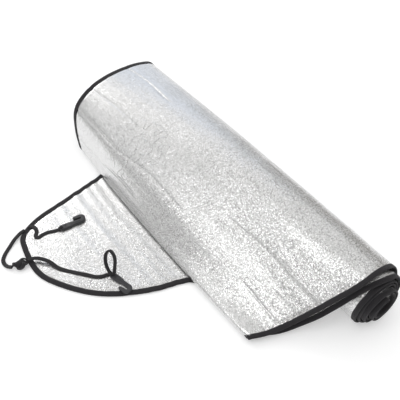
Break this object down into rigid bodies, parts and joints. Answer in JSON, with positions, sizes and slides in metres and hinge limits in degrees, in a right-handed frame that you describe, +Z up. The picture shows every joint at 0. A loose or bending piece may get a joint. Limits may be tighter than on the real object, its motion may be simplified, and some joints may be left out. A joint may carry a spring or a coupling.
{
  "type": "windscreen frost cover",
  "caption": "Foil-faced foam windscreen cover with bound edges, folded double and loosely rolled, with a rounded ear, elastic straps and plastic hooks lying out.",
  "frame": {"origin": "the flat spot under the roll, where it rests on the floor", "axes": "+Z up, +Y along the roll's axis towards the cover's far edge, -X towards the loose ear"},
  "size_m": [0.5075, 0.77, 0.1323],
  "materials": {
    "aluminised_foil": "bright aluminised film on foam, finely wrinkled",
    "woven_binding": "matt black woven tape",
    "flat_elastic": "matt black ribbed elastic",
    "moulded_plastic": "dark satin moulded plastic"
  },
  "bodies": {
    "root": {"foil_foam_panel": "aluminised_foil", "near_edge_binding": "woven_binding", "far_edge_binding": "woven_binding", "ear_binding": "woven_binding", "tucked_ear_binding": "woven_binding", "tip_loop_strap": "flat_elastic", "lower_hook_strap": "flat_elastic", "lower_hook_loop": "flat_elastic", "upper_hook_strap": "flat_elastic", "strap_knot": "flat_elastic", "upper_hook": "moulded_plastic", "lower_hook": "moulded_plastic"}
  },
  "joints": []
}
